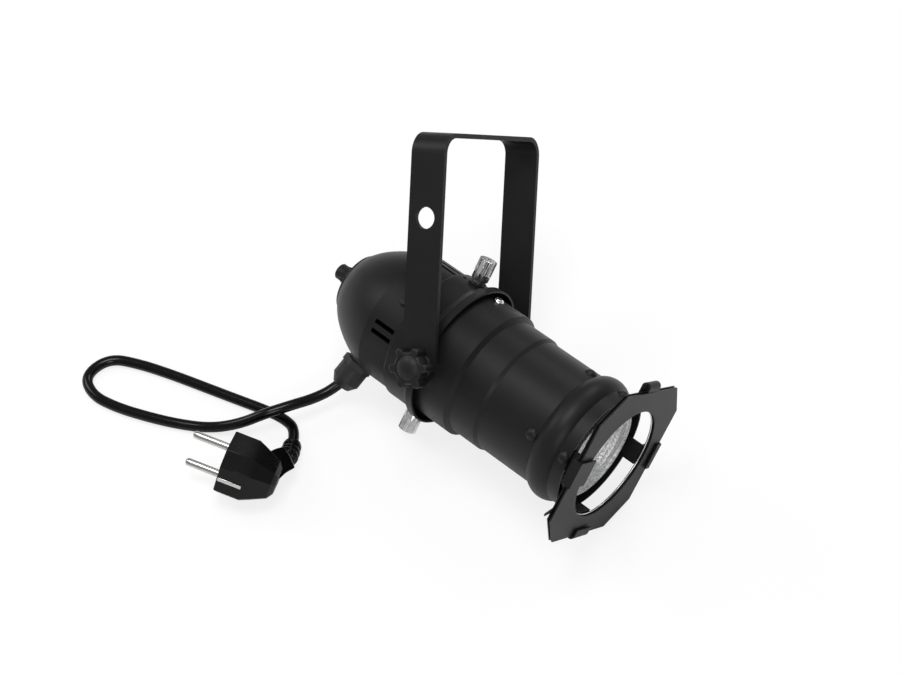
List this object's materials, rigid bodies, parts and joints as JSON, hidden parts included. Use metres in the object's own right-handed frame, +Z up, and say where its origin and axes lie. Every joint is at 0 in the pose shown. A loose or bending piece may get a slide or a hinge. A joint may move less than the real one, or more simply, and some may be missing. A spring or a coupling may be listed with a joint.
{
  "type": "par can light",
  "caption": "Small black PAR spotlight can with a bent yoke, clamp knobs, a sliding lamp, a gel frame in spring clips and a mains lead with an earthed plug.",
  "frame": {"origin": "centre of the footprint of the light without its lead, on the surface it lies on", "axes": "+X along the can towards the lamp's face (nose up 2.4 degrees), +Y horizontal towards the far clamp knob's side, +Z up"},
  "size_m": [0.2645, 0.2275, 0.1491],
  "materials": {
    "black_enamel": "satin",
    "black_rivets": "satin",
    "bright_chrome": "gloss",
    "zinc_steel": "satin",
    "black_moulding": "matt",
    "black_nylon": "satin",
    "lead_rubber": "matt",
    "bare_brass": "satin",
    "nickel_pin": "satin",
    "white_ceramic": "satin",
    "lamp_mirror": "gloss",
    "lamp_front_glass": "gloss",
    "lead_sleeve": "matt"
  },
  "bodies": {
    "light": {"arm_rivets": "black_rivets", "band_screws": "bright_chrome", "bond_nut": "zinc_steel", "bond_screw": "bright_chrome", "front_tube": "black_enamel", "gel_arm_bottom": "black_enamel", "gel_arm_far": "black_enamel", "gel_arm_near": "black_enamel", "gel_arm_top": "black_enamel", "gel_frame_front": "black_enamel", "gel_frame_rear": "black_enamel", "gland_body": "black_nylon", "gland_locknut": "black_nylon", "gland_nut": "black_nylon", "latch_pin": "zinc_steel", "mains_cord": "lead_rubber", "pivot_bush_far": "zinc_steel", "pivot_bush_near": "zinc_steel", "plug_body": "black_moulding", "plug_boot": "lead_rubber", "plug_earth_strips": "nickel_pin", "plug_pins": "nickel_pin", "rear_housing": "black_enamel", "rod_bush": "bare_brass", "screw_bosses": "black_enamel", "terminal_block": "white_ceramic", "terminal_bracket": "zinc_steel", "terminal_screws": "bare_brass"},
    "yoke": {"yoke": "black_enamel", "pivot_washer_near": "zinc_steel", "pivot_washer_far": "zinc_steel", "clamp_washer_near": "zinc_steel", "clamp_washer_far": "zinc_steel"},
    "near_clamp": {"clamp_knob_near": "black_moulding", "clamp_stud_near": "zinc_steel"},
    "far_clamp": {"clamp_knob_far": "black_moulding", "clamp_stud_far": "zinc_steel"},
    "top_thumb_screw": {"thumb_screw_top": "bright_chrome"},
    "bottom_thumb_screw": {"thumb_screw_bottom": "bright_chrome"},
    "lamp_carriage": {"focus_knob": "black_moulding", "focus_rod": "zinc_steel", "rod_nuts": "zinc_steel", "carriage_plate": "zinc_steel", "lamp_socket": "white_ceramic", "socket_posts": "zinc_steel", "lamp_pins": "nickel_pin", "lamp_reflector": "lamp_mirror", "lamp_glass": "lamp_front_glass", "lamp_base": "white_ceramic", "lamp_capsule": "lamp_front_glass", "lamp_leads": "lead_sleeve"},
    "gel_latch": {"gel_latch": "black_enamel"}
  },
  "joints": [
    {"name": "yoke_tilt", "type": "hinge", "parent": "light", "child": "yoke", "pos_m": [-0.00464, -0.02439, 0.04446], "axis": [0.027, 0.7619, -0.6471], "range_deg": [-49, 100]},
    {"name": "near_clamp_turn", "type": "hinge", "parent": "light", "child": "near_clamp", "pos_m": [-0.006, -0.06249, 0.07681], "axis": [-0.027, -0.7619, 0.6471], "range_deg": [-180, 180]},
    {"name": "far_clamp_turn", "type": "hinge", "parent": "light", "child": "far_clamp", "pos_m": [-0.00329, 0.01371, 0.01211], "axis": [0.027, 0.7619, -0.6471], "range_deg": [-180, 180]},
    {"name": "top_screw_turn", "type": "hinge", "parent": "light", "child": "top_thumb_screw", "pos_m": [-0.01967, 0.00281, 0.07586], "axis": [-0.0318, 0.6476, 0.7613], "range_deg": [-180, 180]},
    {"name": "bottom_screw_turn", "type": "hinge", "parent": "light", "child": "bottom_thumb_screw", "pos_m": [-0.017, -0.05159, 0.01192], "axis": [0.0318, -0.6476, -0.7613], "range_deg": [-180, 180]},
    {"name": "lamp_focus", "type": "slide", "parent": "light", "child": "lamp_carriage", "axis": [0.9991, 0, 0.0417], "range_m": [-0.05, 0]},
    {"name": "gel_latch_hinge", "type": "hinge", "parent": "light", "child": "gel_latch", "pos_m": [0.08414, -0.00528, 0.07066], "axis": [-0.027, -0.7619, 0.6471], "range_deg": [0, 50]}
  ]
}
